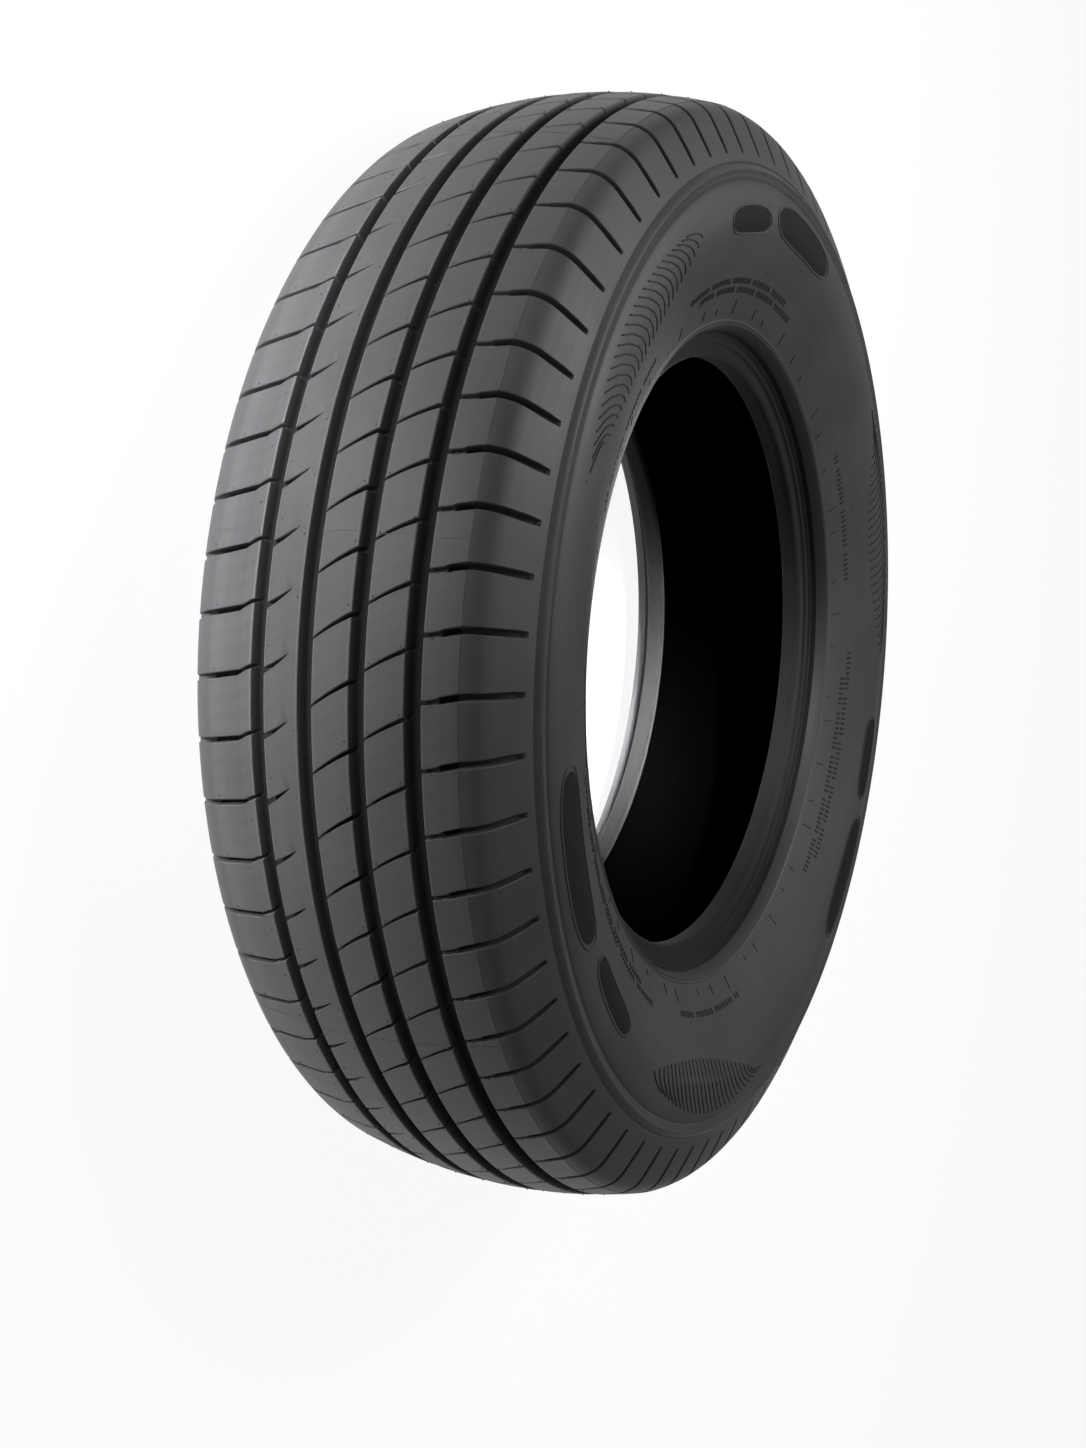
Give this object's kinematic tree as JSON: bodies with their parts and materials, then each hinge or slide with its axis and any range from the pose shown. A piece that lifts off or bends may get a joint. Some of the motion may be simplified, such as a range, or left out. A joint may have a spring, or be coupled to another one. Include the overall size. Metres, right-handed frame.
{
  "type": "tyre",
  "caption": "Tubeless radial road tyre without its wheel, lying flat, with ribbed tread, slotted shoulders and rounded sidewalls.",
  "frame": {"origin": "centre of the tyre, on its axis and in its middle plane", "axes": "+Z along the tyre's axis, out of the sidewall that faces up"},
  "size_m": [0.7034, 0.7034, 0.204],
  "materials": {
    "tread_rubber": "matte black rubber"
  },
  "bodies": {
    "root": {"tyre": "tread_rubber"}
  },
  "joints": []
}
